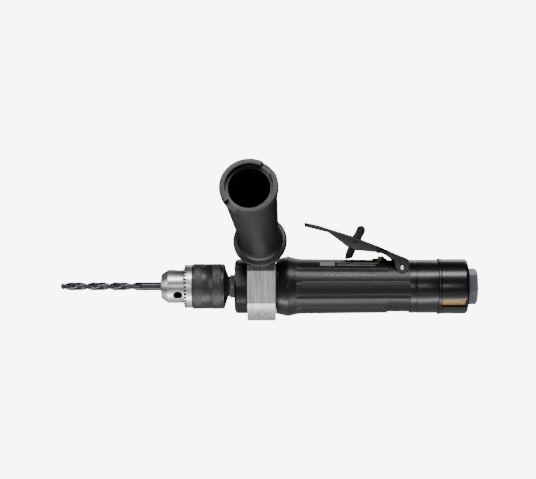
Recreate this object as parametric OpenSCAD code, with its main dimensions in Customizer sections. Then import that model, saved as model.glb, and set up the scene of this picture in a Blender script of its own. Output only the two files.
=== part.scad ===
// Straight air drill with keyed chuck, side handle and lever throttle.
// Millimetres, +Z up. The tool lies along X: the drill points to -X, the air
// inlet faces +X. Origin: centre of the inlet thread mouth.

/* [Sub-parts] */
// which sub-part to show

/* [Grip] */
// radius of the grip in the middle
grip_r = 23.4; // [21:0.1:25]
// radius of the grip at its rear end
grip_rear_r = 22.6; // [21:0.1:25]
// radius of the ridge where gear case and grip meet
ridge_r = 25.5; // [24:0.1:28]
// places for long grooves round the grip, the two on top left out
groove_count = 12; // [8:1:16]
// radius of the tool that cuts the grooves
groove_r = 1.5; // [0.8:0.1:2.5]
// depth of the recessed panel
panel_depth = 1.1; // [0.5:0.1:1.5]

/* [Front end] */
// outside radius of the front collar
collar_r = 23; // [20:0.1:26]
// half distance across its flats
collar_flat = 20.7; // [19:0.1:22]
// outside radius of the handle clamp ring
clamp_r = 29.2; // [27:0.1:32]
// distance from the axis to the milled flat
clamp_flat = 25.8; // [24:0.1:28]
// radius of the neck under the clamp
neck_r = 19; // [18:0.1:20]
// across flats of the spindle hexagon
spindle_af = 19.4; // [17:0.1:22]

/* [Chuck] */
// radius of the polished nose
nose_r = 14.2; // [12:0.1:16]
// radius of the toothed crown ring
crown_r = 18.4; // [17:0.1:20]
// number of crown teeth
crown_teeth = 36; // [24:1:48]
// radius of the chuck sleeve
sleeve_r = 19.3; // [18:0.1:21]
// radius of the chuck key holes
key_hole_r = 3.5; // [2:0.1:4]

/* [Drill bit] */
// diameter of the drill
bit_d = 7; // [3:0.1:8]
// overall length
bit_len = 109; // [60:1:150]
// length of the flutes
flute_len = 69; // [40:1:90]

/* [Side handle] */
// angle of the handle above horizontal
handle_rise = 20.3; // [0:0.1:60]
// distance from the clamp centre to the open end
handle_end = 162.3; // [140:0.1:180]
// distance of the handle axis from the tool axis
stud_offset = 26.5; // [24:0.1:28]

/* [Exhaust and inlet] */
// radius of the turning exhaust sleeve
exhaust_r = 23.3; // [22:0.1:25]
// across flats of the inlet hexagon
inlet_af = 27; // [22:0.5:32]
// minor radius of the inlet thread
inlet_r = 7.48; // [5:0.01:10]

/* [Hidden] */
$fn = 96;
tilt_lean = 3.4;
clamp_x0 = -195.3;
clamp_x1 = -171.3;
planet_at = 9;
gx0 = -180.5;
gx1 = -169;
pin_x = -64.7;
pin_z = 16.5;
flange_s = 37.8;
// handle outline as [distance from the flange's back, radius]
handle_out = [[0.05, 0], [0.05, 21.8], [0.9, 22.6], [3.6, 22.6], [4.6, 21.6], [5.4, 19], [7.6, 17.3], [11, 16.7], [22, 16.8], [40, 17.6], [63, 18.7], [96, 20.3], [114, 21.4], [118, 22.2], [119.4, 22.9], [123.6, 23], [124.5, 22.3], [124.5, 0]];
lock_x = -104.1;
lock_z = 38.5;

// turn a shape built along +Z so that it lies along +X
module lay() { rotate([0, 90, 0]) children(); }
// rod and tube along X
module rod(x0, x1, r) { translate([x0, 0, 0]) lay() cylinder(h = x1 - x0, r = r); }
module tube(x0, x1, ro, ri) {
  difference() { rod(x0, x1, ro); rod(x0 - 1, x1 + 1, ri); }
}
// solid of revolution about X from [x, r] pairs
module turned(p) { lay() rotate_extrude() polygon([for (q = p) [q[1], q[0]]]); }
// swing a shape built towards -Y to an angle above horizontal
module raised(e) { rotate([-e, 0, 0]) children(); }
// plate with an outline in X and Z, thick along Y
module side_plate(y0, y1, p) {
  translate([0, y1, 0]) rotate([90, 0, 0]) linear_extrude(height = y1 - y0) polygon(p);
}
// frame of the side handle: +Z runs out along the handle
module on_handle() {
  translate([-182, 0, 0]) raised(handle_rise) translate([0, 0, stud_offset])
    rotate([0, 0, -tilt_lean]) rotate([90, 0, 0]) children();
}

// ring of straight-flanked teeth
function tooth_pts(z, ra, rf, play) = [for (k = [0 : z - 1]) let (a = k * 360 / z, p = 360 / z)
  each [[rf, a - p * (0.36 - play)], [ra, a - p * (0.14 - play)],
        [ra, a + p * (0.14 - play)], [rf, a + p * (0.36 - play)]]];
module toothed(z, ra, rf, play) {
  polygon([for (q = tooth_pts(z, ra, rf, play)) [q[0] * cos(q[1]), q[0] * sin(q[1])]]);
}

// ---- housing ----------------------------------------------------------
module front_collar() color("#26272a") difference() {
  intersection() {
    turned([[-206.2, 0], [-206.2, 21.6], [-204.8, 23], [-195.5, 23], [-195.5, 0]]);
    raised(28) translate([-212, -collar_flat, -collar_flat]) cube([22, 2 * collar_flat, 2 * collar_flat]);
  }
  rod(-207, -203.2, 8.2);
  rod(-203.2, -195, 14.05);
}

module gear_case() color("#1d1e20") difference() {
  turned([[-195.5, 0], [-195.5, neck_r], [-171, neck_r], [-171, 23.3], [-160.8, ridge_r], [-160.8, 0]]);
  rod(-197, -191, 9.2);
  rod(-192, -160, 17.2);
}

module ring_gear() color("#8c8f94") difference() {
  rod(-181, -168.5, 17.15);
  translate([-182, 0, 0]) lay() linear_extrude(height = 15) difference() {
    circle(r = 15.75);
    difference() {
      circle(r = 17);
      rotate(3.6) toothed(50, 15.75, 14.4, 0.03);
    }
  }
}

module groove_ring() {
  for (k = [0 : groove_count - 1], e = [-20.5 + 30 * k]) if (e < 60 || e > 110) raised(e)
    translate([-151.6, -grip_r - 0.35, 0]) rotate([0, 90, 0]) rotate([-0.45, 0, 0]) cylinder(h = 98, r = groove_r, $fn = 24);
}

module grip_housing() color("#1a1b1d") difference() {
  turned([[-160.8, 0], [-160.8, ridge_r], [-159.6, ridge_r - 0.1], [-151.6, grip_r], [-82, grip_rear_r], [-57.6, grip_rear_r], [-57.6, 0]]);
  rod(-162, -95.5, 18.5);
  rod(-90, -57, 8.6);
  rod(-96.5, -89, 3.5);
  groove_ring();
  // recessed panel round the underside
  translate([-76.4, 0, 0]) lay() rotate([0, 0, -64]) rotate_extrude(angle = 128)
    translate([grip_rear_r - panel_depth, 0]) square([6, 20]);
  // seat of the valve bushing
  translate([-82.8, 0, 6.4]) cylinder(h = 20, r = 6.45);
  // seats for the lever: under the roof's rear edge and round each ear
  translate([-62.6, -22, 19.6]) cube([3.9, 44, 6]);
  for (s = [0, 1]) mirror([0, s, 0]) translate([pin_x, 24.7, pin_z]) rotate([90, 0, 0]) cylinder(h = 8, r = 5.4);
  translate([pin_x, -30, pin_z]) rotate([-90, 0, 0]) cylinder(h = 60, r = 2.05);
}

module valve_housing() color("#202124") difference() {
  turned([[-57.6, 0], [-57.6, 22.7], [-52.5, 22.7], [-52.5, 22.1], [-51.9, 22.1], [-51.9, 22.7], [-33.7, 22.7], [-33.7, 0]]);
  rod(-58, -33, 7);
  rod(-46, -33, 10.55);
  for (k = [0 : 5]) rotate([60 * k, 0, 0]) translate([-50, 0, 16]) lay() cylinder(h = 17, r = 2.6, $fn = 32);
}

module motor_cylinder() color("#9a9da2") difference() {
  rod(-154, -104, 18.4);
  translate([0, 0, -1.6]) rod(-155, -103, 15.1);
  for (k = [0 : 4]) translate([-147 + 9 * k, 0, -20]) cylinder(h = 8, r = 2.2, $fn = 32);
}

module end_plate(x0, x1, b0, b1) difference() {
  rod(x0, x1, 18.4);
  rod(x0 - 1, x1 + 1, 4.4);
  rod(b0, b1, 9.5);
}
module front_plate() color("#85888c") end_plate(-160.6, -154.1, -161, -155.6);
module rear_plate() color("#85888c") end_plate(-103.9, -96, -102.4, -95);

module spindle_race() color("#b9bcc0") difference() {
  rod(-203.2, -195.8, 14);
  rod(-204, -195, 11.9);
  lay() translate([0, 0, -199.5]) rotate_extrude() translate([10.9, 0]) circle(r = 2.05, $fn = 32);
}
module spindle_balls() color("#d2d4d7")
  for (k = [0 : 10]) rotate([k * 360 / 11, 0, 0]) translate([-199.5, 0, 10.9]) sphere(r = 2, $fn = 24);

module small_race(x) difference() {
  rod(x, x + 4.6, 9.45);
  rod(x - 1, x + 6, 7.6);
}
module front_race() color("#b9bcc0") small_race(-160.4);
module rear_race() color("#b9bcc0") small_race(-102.2);

module stop_ring() color("#17181a") difference() {
  turned([[-33.6, 0], [-33.6, 23.3], [-33.1, 23.8], [-31.9, 23.8], [-31.4, 23.4], [-31.4, 0]]);
  rod(-34, -31, 10.6);
  for (k = [0 : 5]) rotate([60 * k, 0, 0]) translate([-35, 0, 16]) lay() cylinder(h = 5, r = 2.6, $fn = 32);
}

module silencer_core() color("#b39a64") tube(-31.4, -10.6, 21.4, 10.6);

module inlet_bushing() color("#5b5f68") difference() {
  union() {
    intersection() {
      translate([-7.7, 0, 0]) lay() rotate([0, 0, 11]) cylinder(h = 7.7, r = inlet_af / sqrt(3), $fn = 6);
      turned([[-7.7, 0], [-7.7, 14.9], [-7, 15.6], [-1.4, 15.6], [0, 13.6], [0, 0]]);
    }
    rod(-45.8, -7.7, 10.5);
  }
  rod(-47, 1, 6);
  rod(-14, 1, inlet_r);
}

// ---- throttle ---------------------------------------------------------
module valve_bushing() color("#111214") difference() {
  translate([-82.8, 0, 7.2]) union() {
    cylinder(h = 15.8, r = 6.4);
    translate([0, 0, 15.8]) cylinder(h = 0.9, r1 = 6.4, r2 = 5.5);
  }
  translate([-81.6, 0, 6]) cylinder(h = 20, r = 3.08);
}

module throttle_plunger() color("#b8975a") translate([-81.6, 0, 0]) {
  translate([0, 0, 5]) cylinder(h = 20.1, r = 3);
  translate([0, 0, 25.1]) cylinder(h = 0.7, r1 = 3, r2 = 2);
  translate([0, 0, 4.6]) cylinder(h = 2, r = 4.6);
}

module valve_spring() color("#c3c6ca") translate([-81.6, 0, 0]) {
  for (k = [0 : 5]) translate([0, 0, -5 + 1.75 * k]) rotate_extrude() translate([3.4, 0]) circle(r = 0.45, $fn = 20);
  translate([3.4, 0, -5]) cylinder(h = 8.75, r = 0.3, $fn = 20);
}

module lever_pin() color("#c9cbce") translate([pin_x, 0, pin_z]) rotate([90, 0, 0]) {
  translate([0, 0, -19.4]) cylinder(h = 38.8, r = 2);
  for (s = [0, 1]) mirror([0, 0, s]) translate([0, 0, 19.4]) cylinder(h = 0.7, r1 = 2, r2 = 1.2);
}

lever_top = [[-146.9, 54.5], [-139.9, 53.1], [-133.9, 51.6], [-126.5, 49.2], [-105.6, 42.6], [-98.2, 39.7], [-83.6, 34.1], [-70.5, 28], [-60, 23.9], [-59.2, 22.4]];
lever_low = [[-59.4, 18.5], [-60.6, 14.4], [-62.4, 12.6], [-64.7, 12], [-67.4, 12.8], [-69.8, 15.6], [-70.8, 18.5], [-71.2, 22.4], [-76, 26.2], [-81.7, 28.7], [-89.6, 29.5], [-102.5, 30.7], [-109.9, 33.8], [-119, 40.8], [-126.5, 46.1], [-137.8, 48.9], [-146.9, 51.1]];
lever_plan = [[-148, -8.6], [-124, -9.5], [-85.5, -9.5], [-76, -19.2], [-57, -19.2], [-57, 19.2], [-76, 19.2], [-85.5, 9.5], [-124, 9.5], [-148, 8.6]];
lever_hollow = [[-160, -7.9], [-86.3, -7.9], [-76.7, -17.3], [-50, -17.3], [-50, 17.3], [-76.7, 17.3], [-86.3, 7.9], [-160, 7.9]];

module throttle_lever() color("#2b2d30") {
  // pad under the roof that meets the plunger
  side_plate(-5, 5, [[-85, 28.3], [-78.4, 28.3], [-78.4, 30.6], [-85, 33.5]]);
  lever_channel();
}
module lever_channel() difference() {
  intersection() {
    side_plate(-20, 20, concat(lever_top, lever_low));
    translate([0, 0, 5]) linear_extrude(height = 60) polygon(lever_plan);
  }
  intersection() {
    side_plate(-20, 20, concat([for (q = lever_top) [q[0], q[1] - 1.9]], [[-50, 20], [-50, 0], [-160, 0], [-160, 54]]));
    translate([0, 0, -5]) linear_extrude(height = 70) polygon(lever_hollow);
  }
  translate([-112, -2, 30]) cube([26.5, 4, 25]);
  translate([pin_x, -30, pin_z]) rotate([-90, 0, 0]) cylinder(h = 60, r = 2.1);
  translate([lock_x, -30, lock_z]) rotate([-90, 0, 0]) cylinder(h = 60, r = 1.85);
}

// lock-off outline below the thumb end, in its own frame: [along the plate, across it]
lock_out = [[8.5, -2.4], [8.5, 4.9], [4, 4.6], [0, 4], [-8, 3.9], [-13, 3.8], [-14.2, 3.4], [-15.3, 2], [-16.3, 0.4], [-17, -1.2], [-17.2, -1.9], [-12, -2.9], [-6.4, -3.3], [0, -3.6]];
// thumb end: how far along and across its centre lies, and its radius
thumb = [10.97, 1.27, 3.75];
lock_tilt = 23;
lock_half = 1.4;
module lockoff_lever() color("#303236") translate([lock_x, 0, lock_z]) rotate([90, 0, 0]) rotate([0, 0, -lock_tilt]) difference() {
  union() {
    translate([0, 0, -lock_half]) linear_extrude(height = 2 * lock_half) polygon([for (q = lock_out) [q[1], q[0]]]);
    translate([thumb[1], thumb[0], -lock_half]) cylinder(h = 2 * lock_half, r = thumb[2]);
    translate([thumb[1] - thumb[2] + 0.02, 7, -lock_half]) cube([2 * thumb[2] - 0.04, thumb[0] - 7, 2 * lock_half]);
  }
  translate([0, 0, -10]) cylinder(h = 20, r = 1.9);
}

module lockoff_rivet() color("#a9acb0") translate([lock_x, 0, lock_z]) rotate([90, 0, 0]) {
  translate([0, 0, -9.5]) cylinder(h = 19, r = 1.8);
  for (s = [0, 1]) mirror([0, 0, s]) translate([0, 0, 9.5]) cylinder(h = 0.9, r1 = 2.2, r2 = 1.3);
}

// ---- spindle and chuck --------------------------------------------------
module spindle() color("#7d8087") difference() {
  union() {
    rod(-231, -210.3, 6.3);
    translate([-210.3, 0, 0]) lay() rotate([0, 0, 90]) cylinder(h = 3.9, r = spindle_af / sqrt(3), $fn = 6);
    rod(-206.4, -186, 7.6);
    turned([[-203, 0], [-203, 9.2], [-201.2, 9.2], [-200.3, 8.6], [-198.7, 8.6], [-197.8, 9.2], [-196, 9.2], [-196, 0]]);
    rod(-190, -182, 15);
  }
  for (k = [0 : 2]) rotate([0, 90, 0]) rotate([0, 0, 90 + 120 * k]) translate([planet_at, 0, -192]) cylinder(h = 11, r = 2.42, $fn = 48);
}

module planet_pins() color("#b9bcc0")
  for (k = [0 : 2]) rotate([0, 90, 0]) rotate([0, 0, 90 + 120 * k]) translate([planet_at, 0, -190])
    cylinder(h = 21.6, r = 2.4, $fn = 48);

module planet(k) rotate([0, 90, 0]) rotate([0, 0, 90 + 120 * k]) translate([planet_at, 0, gx0])
  rotate([0, 0, -90 - 120 * k]) linear_extrude(height = gx1 - gx0) difference() {
    toothed(20, 6.5, 5.3, 0.03);
    circle(r = 2.48, $fn = 48);
  }
module planet_1() color("#8f9297") planet(0);
module planet_2() color("#8f9297") planet(1);
module planet_3() color("#8f9297") planet(2);

module key_hole(e) raised(e) translate([-254.3, 0, 0]) rotate([90, 0, 0]) translate([0, 0, 7.5]) cylinder(h = 10, r = key_hole_r, $fn = 48);
module jaw_rod(r, l0, l1) {
  // runs back and outwards at 15 degrees from the tip of the nose
  translate([-268.8, -5.9, 0]) rotate([0, 0, -15]) translate([l0, 0, 0]) lay() cylinder(h = l1 - l0, r = r, $fn = 40);
}
module chuck_body() color("#c4c6c9") difference() {
  turned([[-268.8, 0], [-268.8, 10.3], [-263, nose_r], [-249.2, nose_r], [-249.2, 13], [-213.3, 13], [-211.5, 8.5], [-210.4, 8.5], [-210.4, 0]]);
  rod(-270, -244, 4.2);
  rod(-231.4, -210, 6.35);
  for (k = [0 : 2]) { key_hole(-32.4 + 120 * k); raised(27.6 + 120 * k) jaw_rod(3.3, -8, 32); }
}
module jaw(k) raised(27.6 + 120 * k) difference() {
  jaw_rod(3, 0.2, 24);
  translate([-275, -3.7, -6]) cube([40, 8, 12]);
  translate([-280, -20, -8]) cube([10.8, 30, 16]);
}
module jaw_1() color("#8a8d91") jaw(0);
module jaw_2() color("#8a8d91") jaw(1);
module jaw_3() color("#8a8d91") jaw(2);

module chuck_sleeve() color("#4a4d52") difference() {
  union() {
    turned([[-242.1, 17.35], [-242.1, 18.6], [-241.4, 19.2], [-240.4, 19.2], [-240.2, 18.9], [-233.8, 18.9], [-233.6, 19.1], [-225, 19.1], [-224.8, 18.9], [-218, 18.9], [-217.8, 19.3], [-216, sleeve_r], [-215.1, 18.8], [-213.4, 13.5], [-232, 13.5], [-232, 17.35]]);
    for (x = [-240.3, -224.9]) translate([x, 0, 0]) lay() linear_extrude(height = 7)
      difference() { toothed(60, 19.3, 18.8, 0); circle(r = 18.2); }
  }
}
module crown_ring() color("#b2b5b8") difference() {
  union() {
    rod(-246.8, -242.1, crown_r);
    translate([-249, 0, 0]) lay() linear_extrude(height = 2.3) toothed(crown_teeth, crown_r - 0.12, 15.8, 0);
  }
  rod(-250, -241, 14.7);
  rod(-247.4, -241, 17.3);
}
module jaw_nut() color("#75787d") tube(-247.3, -238, 17.25, 16.4);

module drill_bit() color("#2c2d30") difference() {
  union() {
    rod(-352.8, -355.4 + bit_len, bit_d / 2);
    translate([-355.4, 0, 0]) lay() cylinder(h = 2.6, r1 = 0.4, r2 = bit_d / 2);
  }
  // flutes stepped round the drill
  for (h = [0, 180]) for (k = [0 : 23]) rotate([h + 20 + 27.5 * k, 0, 0]) translate([-356.4 + 2.9 * k, 3.3, 0])
    rotate([-30, 0, 0]) lay() cylinder(h = 3.4, r = 1.7, $fn = 12);
}

// ---- motor --------------------------------------------------------------
module rotor() color("#8f9297") difference() {
  union() {
    rod(-153.7, -104.3, 13.2);
    rod(-164, -153, 4);
    rod(-160.4, -155.8, 5.6);
    rod(-105, -97, 4);
    rod(-102.2, -97.6, 5.6);
    rod(-168.4, -164, 2.6);
    translate([-180, 0, 0]) lay() linear_extrude(height = 11.6) toothed(10, 3.5, 2.3, 0.03);
  }
  for (k = [0 : 4]) rotate([72 * k, 0, 0]) translate([-154, -0.85, 6.4]) cube([50, 1.7, 10]);
}
module vanes() color("#6b4f35") for (k = [0 : 4]) rotate([72 * k, 0, 0]) translate([-153.6, -0.8, 6.6]) cube([49.2, 1.6, 6.4]);

// ---- exhaust sleeve -------------------------------------------------------
module exhaust_sleeve() color("#1c1d1f") difference() {
  turned([[-31.2, 0], [-31.2, exhaust_r], [-11.5, exhaust_r], [-10.2, 23.0], [-9.1, 22.3], [-8.4, 21.2], [-8.1, 19.9], [-8.1, 0]]);
  rod(-32, -10.3, 21.8);
  rod(-32, -7, 11);
  lay() translate([0, 0, -31.9]) rotate([0, 0, -62]) rotate_extrude(angle = 19) translate([20, 0]) square([6, 21.6]);
}

// ---- side handle ----------------------------------------------------------
module handle_clamp() color("#b4b7ba") difference() {
  union() {
    intersection() {
      turned([[clamp_x0, 0], [clamp_x0, clamp_r - 0.6], [clamp_x0 + 0.6, clamp_r], [clamp_x1 - 0.6, clamp_r], [clamp_x1, clamp_r - 0.6], [clamp_x1, 0]]);
      translate([-200, -clamp_flat, -40]) cube([40, 80, 80]);
    }
    intersection() {
      on_handle() translate([0, 0, -15.5]) cylinder(h = 33, r = 9.4);
      translate([clamp_x0, -60, -60]) cube([clamp_x1 - clamp_x0, 120, 120]);
    }
  }
  rod(-197, -170, 19.3);
  // pinch slot
  on_handle() translate([-30, -9, -1.5]) cube([60, 24, 3]);
  on_handle() translate([0, 0, -30]) cylinder(h = 60, r = 4.3);
  // spot face under the ferrule
  on_handle() translate([0, 0, 17.5]) cylinder(h = 20, r = 9.3);
}
module handle_stud() color("#8d9095") on_handle() {
  translate([0, 0, -14.8]) cylinder(h = 68, r = 4);
  translate([0, 0, 17.8]) cylinder(h = flange_s - 17.8, r = 8.8);
}
module side_handle() color("#151618") on_handle() difference() {
  rotate_extrude() polygon([for (q = handle_out) [q[1], flange_s + q[0]]]);
  cylinder(h = 54, r = 4.03);
  translate([0, 0, 56]) cylinder(h = 102.2, r1 = 12.6, r2 = 16.2);
  translate([0, 0, 158.15]) cylinder(h = 6, r = 18.4);
  for (a = [47, 229]) rotate([0, 0, a]) translate([17.1, -5.4, handle_end - 3.3]) cube([9, 10.8, 5.3]);
}

front_collar();
gear_case();
ring_gear();
grip_housing();
valve_housing();
motor_cylinder();
front_plate();
rear_plate();
spindle_race();
spindle_balls();
front_race();
rear_race();
stop_ring();
silencer_core();
inlet_bushing();
valve_bushing();
valve_spring();
lever_pin();
spindle();
planet_pins();
chuck_body();
rotor();
vanes();
planet_1();
planet_2();
planet_3();
chuck_sleeve();
crown_ring();
jaw_nut();
jaw_1();
jaw_2();
jaw_3();
drill_bit();
exhaust_sleeve();
handle_clamp();
handle_stud();
side_handle();
throttle_lever();
lockoff_lever();
lockoff_rivet();
throttle_plunger();
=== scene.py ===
# Straight air drill: keyed chuck with a twist drill, side handle in a clamp
# ring, finned black grip with a lever throttle, exhaust sleeve and air inlet.
# The tool lies along X with the drill towards -X; Z is up. Lengths below are
# in millimetres and are turned into metres where a mesh is made.
import math

import bmesh
import bpy
from mathutils import Matrix, Vector


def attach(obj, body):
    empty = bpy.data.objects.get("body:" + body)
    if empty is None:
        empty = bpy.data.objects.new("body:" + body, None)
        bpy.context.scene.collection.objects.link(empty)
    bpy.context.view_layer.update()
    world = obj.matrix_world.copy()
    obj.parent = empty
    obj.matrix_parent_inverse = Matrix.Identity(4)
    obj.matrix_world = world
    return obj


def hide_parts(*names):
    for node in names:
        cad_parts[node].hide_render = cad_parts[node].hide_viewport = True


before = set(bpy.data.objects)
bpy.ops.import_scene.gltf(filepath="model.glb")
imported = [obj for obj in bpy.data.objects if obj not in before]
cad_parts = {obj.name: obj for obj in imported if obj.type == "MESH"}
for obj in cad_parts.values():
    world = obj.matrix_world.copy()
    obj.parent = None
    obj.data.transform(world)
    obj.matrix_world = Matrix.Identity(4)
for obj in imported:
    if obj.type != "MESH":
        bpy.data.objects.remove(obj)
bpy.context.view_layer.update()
MM = 0.001

# ---- Camera, floor and light ------------------------------------------------
# A long lens looks square on to the tool, a little right of the clamp ring.
# A plain pale floor lies well below. Softboxes above, below, in front, behind
# and at the nose draw the long highlights along the black barrel.
camera = bpy.data.objects.new("camera", bpy.data.cameras.new("camera"))
bpy.context.collection.objects.link(camera)
camera.location = (-0.1661, -1.366, 0.0400)
camera.rotation_euler = (math.radians(90), 0, 0)
camera.data.sensor_width = 36
camera.data.lens = 107.4
camera.data.shift_x = -0.026
camera.data.clip_end = 50
bpy.context.scene.camera = camera


def softbox(name, place, aim, size, power):
    lamp = bpy.data.lights.new(name, "AREA")
    lamp.shape = "RECTANGLE"
    lamp.size, lamp.size_y = size
    lamp.energy = power
    holder = bpy.data.objects.new(name, lamp)
    holder.location = place
    holder.rotation_euler = (Vector(aim) - Vector(place)).to_track_quat("-Z", "Y").to_euler()
    bpy.context.collection.objects.link(holder)


softbox("key_above", (-0.1, -0.55, 0.75), (-0.17, 0, 0), (0.9, 0.22), 11)
softbox("fill_low", (-0.2, -0.2, -0.4), (-0.17, 0, 0), (0.9, 0.12), 3.8)
softbox("front_card", (-0.2, -1.6, 0.12), (-0.17, 0, 0), (0.7, 0.3), 3.5)
softbox("nose_side", (-0.95, -0.45, 0.2), (-0.25, 0, 0), (0.3, 0.5), 2.4)
softbox("back_rim", (0.1, 0.8, 0.7), (-0.17, 0, 0), (0.9, 0.3), 2.5)

world = bpy.data.worlds.new("studio")
world.use_nodes = True
bpy.context.scene.world = world
sky = world.node_tree
sky.nodes.clear()
sky_out = sky.nodes.new("ShaderNodeOutputWorld")
sky_seen = sky.nodes.new("ShaderNodeBackground")
sky_light = sky.nodes.new("ShaderNodeBackground")
sky_pick = sky.nodes.new("ShaderNodeMixShader")
sky_path = sky.nodes.new("ShaderNodeLightPath")
# The camera sees a bright backdrop, which hardly lights the tool itself.
sky_seen.inputs["Color"].default_value = (1, 1, 1, 1)
sky_seen.inputs["Strength"].default_value = 8.0
sky_light.inputs["Color"].default_value = (0.97, 0.985, 1, 1)
sky_light.inputs["Strength"].default_value = 0.012
sky.links.new(sky_path.outputs["Is Camera Ray"], sky_pick.inputs[0])
sky.links.new(sky_light.outputs[0], sky_pick.inputs[1])
sky.links.new(sky_seen.outputs[0], sky_pick.inputs[2])
sky.links.new(sky_pick.outputs[0], sky_out.inputs[0])


def link_mesh(name, points, faces):
    """A mesh object from points in millimetres, with its faces turned outwards."""
    mesh = bpy.data.meshes.new(name)
    mesh.from_pydata([Vector(p) * MM for p in points], [], faces)
    work = bmesh.new()
    work.from_mesh(mesh)
    bmesh.ops.remove_doubles(work, verts=work.verts, dist=1e-7)
    bmesh.ops.recalc_face_normals(work, faces=work.faces)
    work.to_mesh(mesh)
    work.free()
    piece = bpy.data.objects.new(name, mesh)
    bpy.context.collection.objects.link(piece)
    return piece


floor_half = 1150
floor_z = -420
floor_corners = ((-1, -1), (1, -1), (1, 1), (-1, 1))
floor = link_mesh("floor", [(a * floor_half, b * floor_half, floor_z) for a, b in floor_corners],
                  [(0, 1, 2, 3)])
floor_paint = bpy.data.materials.new("floor_paint")
floor_paint.use_nodes = True
floor_shader = floor_paint.node_tree.nodes["Principled BSDF"]
floor_shader.inputs["Base Color"].default_value = (0.93, 0.93, 0.93, 1)
floor_shader.inputs["Roughness"].default_value = 0.9
floor.data.materials.append(floor_paint)


# ---- Twist drill ------------------------------------------------------------
# A 7 mm jobber drill in blackened high-speed steel. Two right-hand flutes are
# ground out of the bar and run out into the plain shank held in the chuck.
def finish(name, colour, rough, metal=0.0, grain=0.0, grain_scale=900.0, stretch=(1, 1, 1),
           tone=0.12, tone_scale=60.0, worn=0.0, coat=0.0, sheen_rough=0.12, aniso=0.0, shine=0.5):
    """A surface finish: patchy tone, uneven gloss, fine grain as bump and edges worn lighter."""
    paint = bpy.data.materials.new(name)
    paint.use_nodes = True
    nodes, links = paint.node_tree.nodes, paint.node_tree.links
    shader = nodes["Principled BSDF"]
    shader.inputs["Metallic"].default_value = metal
    shader.inputs["Specular IOR Level"].default_value = shine
    shader.inputs["Coat Weight"].default_value = coat
    shader.inputs["Coat Roughness"].default_value = 0.25
    shader.inputs["Anisotropic"].default_value = aniso
    place = nodes.new("ShaderNodeTexCoord")
    stretched = nodes.new("ShaderNodeMapping")
    stretched.inputs["Scale"].default_value = stretch
    links.new(place.outputs["Object"], stretched.inputs["Vector"])

    def noise(scale, detail, source):
        cloud = nodes.new("ShaderNodeTexNoise")
        cloud.inputs["Scale"].default_value = scale
        cloud.inputs["Detail"].default_value = detail
        links.new(source, cloud.inputs["Vector"])
        return cloud.outputs["Fac"]

    patches = noise(tone_scale, 3, stretched.outputs["Vector"])
    ramp = nodes.new("ShaderNodeValToRGB")
    ramp.color_ramp.elements[0].position = 0.3
    ramp.color_ramp.elements[1].position = 0.7
    ramp.color_ramp.elements[0].color = tuple(c * (1 - tone) for c in colour) + (1,)
    ramp.color_ramp.elements[1].color = tuple(min(1, c * (1 + tone)) for c in colour) + (1,)
    links.new(patches, ramp.inputs["Fac"])
    seen = ramp.outputs["Color"]
    if worn:
        shape = nodes.new("ShaderNodeNewGeometry")
        edge = nodes.new("ShaderNodeMapRange")
        edge.inputs["From Min"].default_value = 0.52
        edge.inputs["From Max"].default_value = 0.62
        edge.inputs["To Max"].default_value = worn
        links.new(shape.outputs["Pointiness"], edge.inputs["Value"])
        lighter = nodes.new("ShaderNodeMix")
        lighter.data_type = "RGBA"
        lighter.inputs["B"].default_value = tuple(min(1, c * 3 + 0.1) for c in colour) + (1,)
        links.new(edge.outputs["Result"], lighter.inputs["Factor"])
        links.new(seen, lighter.inputs["A"])
        seen = lighter.outputs["Result"]
    links.new(seen, shader.inputs["Base Color"])
    fine = noise(grain_scale, 4, stretched.outputs["Vector"])
    gloss = nodes.new("ShaderNodeMapRange")
    gloss.inputs["To Min"].default_value = max(0.03, rough - sheen_rough)
    gloss.inputs["To Max"].default_value = min(1, rough + sheen_rough)
    links.new(fine, gloss.inputs["Value"])
    links.new(gloss.outputs["Result"], shader.inputs["Roughness"])
    if grain:
        bump = nodes.new("ShaderNodeBump")
        bump.inputs["Strength"].default_value = grain
        bump.inputs["Distance"].default_value = 0.0002
        links.new(fine, bump.inputs["Height"])
        links.new(bump.outputs["Normal"], shader.inputs["Normal"])
    return paint


def fit_piece(piece, paint, slot, body, *nodes, crease=30):
    """Gives a piece its finish and its body, and lets it stand for its solids."""
    piece.data.materials.clear()
    piece.data.materials.append(paint)
    piece.data.shade_smooth()
    piece.data.set_sharp_from_angle(angle=math.radians(crease))
    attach(piece, body)
    if nodes:
        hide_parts(*nodes)
    return piece


def around(outline, turns, shape=None, closed=True):
    """Points and faces of an outline of (x, r) pairs swung about X; turns are angles above
    the near horizontal. shape(x, r, turn) may change x and r."""
    points = []
    for turn in turns:
        c, s = math.cos(math.radians(turn)), math.sin(math.radians(turn))
        for x, r in outline:
            if shape:
                x, r = shape(x, r, turn)
            points.append((x, -r * c, r * s))
    n, m = len(outline), len(turns)
    last = n if closed else n - 1
    faces = [(a * n + b, a * n + (b + 1) % n, (a + 1) % m * n + (b + 1) % n, (a + 1) % m * n + b)
             for a in range(m) for b in range(last)]
    return points, faces


def eased(corners, steps=4):
    """An outline of (x, r, rounding) corners with each rounding drawn as a short curve."""
    line = []
    for i, (x, r, ease) in enumerate(corners):
        here = Vector((x, r))
        if not ease:
            line.append((x, r))
            continue
        before = Vector(corners[i - 1][:2]) - here
        after = Vector(corners[(i + 1) % len(corners)][:2]) - here
        start = here + before.normalized() * min(ease, before.length * 0.49)
        end = here + after.normalized() * min(ease, after.length * 0.49)
        for k in range(steps + 1):
            t = k / steps
            p = start * (1 - t) ** 2 + here * 2 * t * (1 - t) + end * t * t
            line.append((p.x, p.y))
    return line


def degrees(step):
    return [k * step for k in range(round(360 / step))]


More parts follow.
